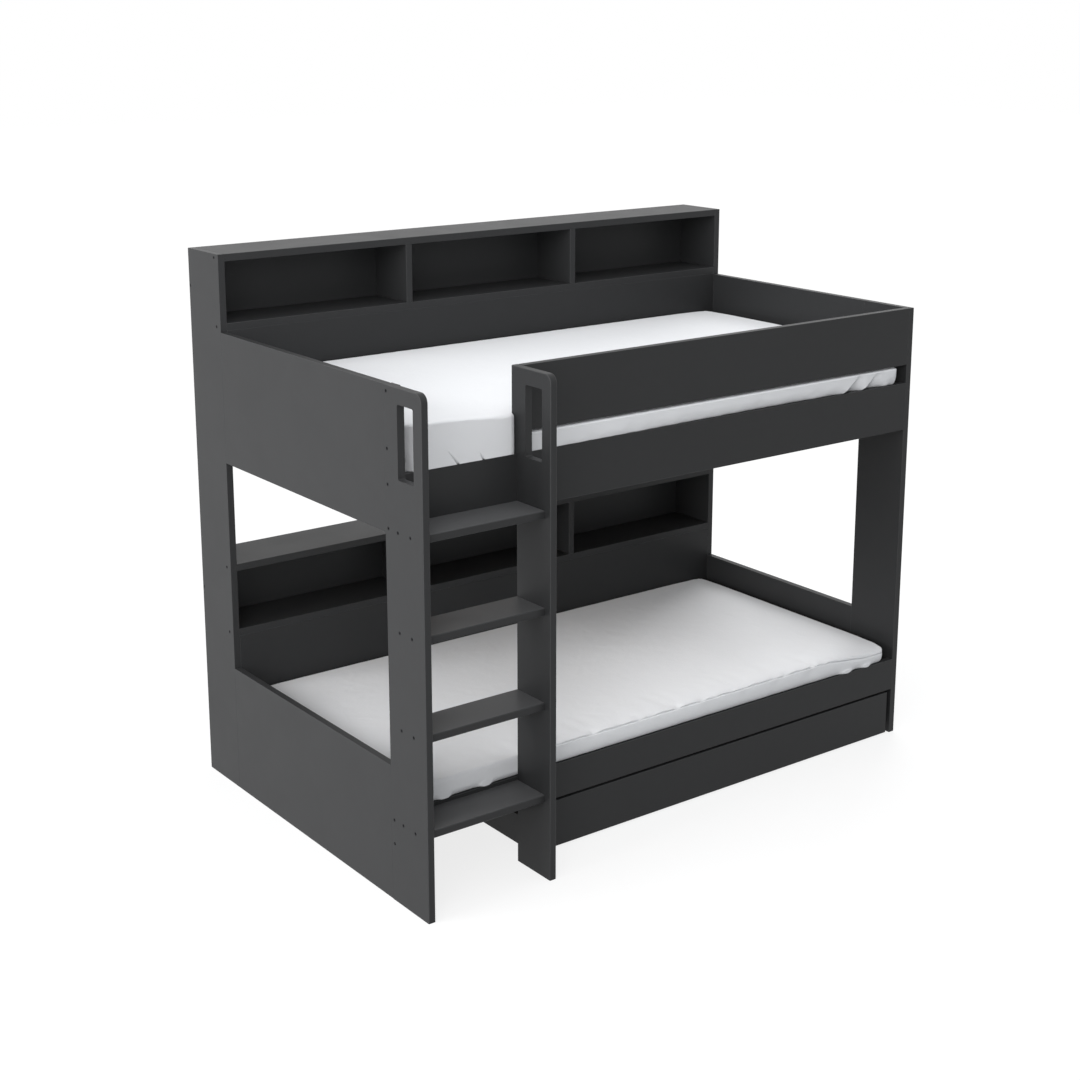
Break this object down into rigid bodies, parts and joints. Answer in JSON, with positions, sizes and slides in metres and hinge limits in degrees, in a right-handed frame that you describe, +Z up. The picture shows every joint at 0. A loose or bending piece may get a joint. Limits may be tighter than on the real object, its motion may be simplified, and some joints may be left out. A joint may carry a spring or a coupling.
{
  "type": "bunk bed",
  "caption": "Two-bed board bunk with a front ladder, a bookcase along the back and an underbed drawer on castors.",
  "frame": {"origin": "on the floor under the middle of the bed's overall box", "axes": "+X along the bed from the ladder end, +Y from the ladder side to the bookcase, +Z up"},
  "size_m": [1.98, 1.27, 1.68],
  "materials": {
    "anthracite_board": "matte anthracite melamine-faced board with matching edging",
    "anthracite_back_panel": "matte anthracite thin board",
    "pine": "planed unvarnished softwood",
    "strap_webbing": "woven slat strap",
    "mattress_cover": "white fitted sheet over a foam mattress",
    "screw_steel": "blackened steel",
    "drawer_base_board": "matte anthracite board",
    "castor_plastic": "black moulded plastic",
    "wheel_plastic": "dark grey moulded plastic"
  },
  "bodies": {
    "bed_frame": {"bookcase_side_left": "anthracite_board", "bookcase_side_right": "anthracite_board", "top_board": "anthracite_board", "upper_cubby_floor": "anthracite_board", "lower_bookcase_top": "anthracite_board", "lower_cubby_floor": "anthracite_board", "upper_divider_left": "anthracite_board", "upper_divider_right": "anthracite_board", "lower_divider_left": "anthracite_board", "lower_divider_right": "anthracite_board", "upper_back_board": "anthracite_board", "lower_back_board": "anthracite_board", "left_end_panel_upper": "anthracite_board", "left_end_panel_lower": "anthracite_board", "right_end_panel_upper": "anthracite_board", "right_end_panel_lower": "anthracite_board", "ladder_post_left": "anthracite_board", "ladder_post_right": "anthracite_board", "ladder_step_1": "anthracite_board", "ladder_step_2": "anthracite_board", "ladder_step_3": "anthracite_board", "ladder_step_4": "anthracite_board", "right_front_post": "anthracite_board", "guard_rail": "anthracite_board", "upper_front_rail": "anthracite_board", "lower_front_rail": "anthracite_board", "upper_cubby_back": "anthracite_back_panel", "lower_cubby_back": "anthracite_back_panel", "upper_batten_front": "pine", "upper_batten_back": "pine", "lower_batten_front": "pine", "lower_batten_back": "pine", "upper_slats": "pine", "lower_slats": "pine", "left_joining_batten": "pine", "end_panel_dowels": "pine", "upper_slat_straps": "strap_webbing", "lower_slat_straps": "strap_webbing", "upper_mattress": "mattress_cover", "lower_mattress": "mattress_cover", "left_end_screws": "screw_steel", "right_end_screws": "screw_steel", "step_screws": "screw_steel", "rail_screws": "screw_steel", "joining_screws": "screw_steel"},
    "drawer": {"drawer_front": "anthracite_board", "drawer_side_left": "anthracite_board", "drawer_side_right": "anthracite_board", "drawer_back": "anthracite_board", "drawer_base": "drawer_base_board", "drawer_base_cleats": "pine", "drawer_centre_bearer": "pine", "drawer_corner_blocks": "castor_plastic", "drawer_screws": "screw_steel", "castor_hoods": "castor_plastic", "castor_axles": "screw_steel"},
    "front_wheels": {"castor_wheels_front": "wheel_plastic"},
    "rear_wheels": {"castor_wheels_rear": "wheel_plastic"}
  },
  "joints": [
    {"name": "drawer_slide", "type": "slide", "parent": "bed_frame", "child": "drawer", "axis": [0, -1, 0], "range_m": [0, 0.75]},
    {"name": "front_wheels_roll", "type": "hinge", "parent": "drawer", "child": "front_wheels", "pos_m": [0.203, -0.395, 0.015], "axis": [1, 0, 0], "range_deg": [0, 2870]},
    {"name": "rear_wheels_roll", "type": "hinge", "parent": "drawer", "child": "rear_wheels", "pos_m": [0.203, 0.282, 0.015], "axis": [1, 0, 0], "range_deg": [0, 2870]}
  ],
  "couplings": [
    {"joint": "front_wheels_roll", "follows": "drawer_slide", "rad_per_m": 66.667},
    {"joint": "rear_wheels_roll", "follows": "drawer_slide", "rad_per_m": 66.667}
  ]
}
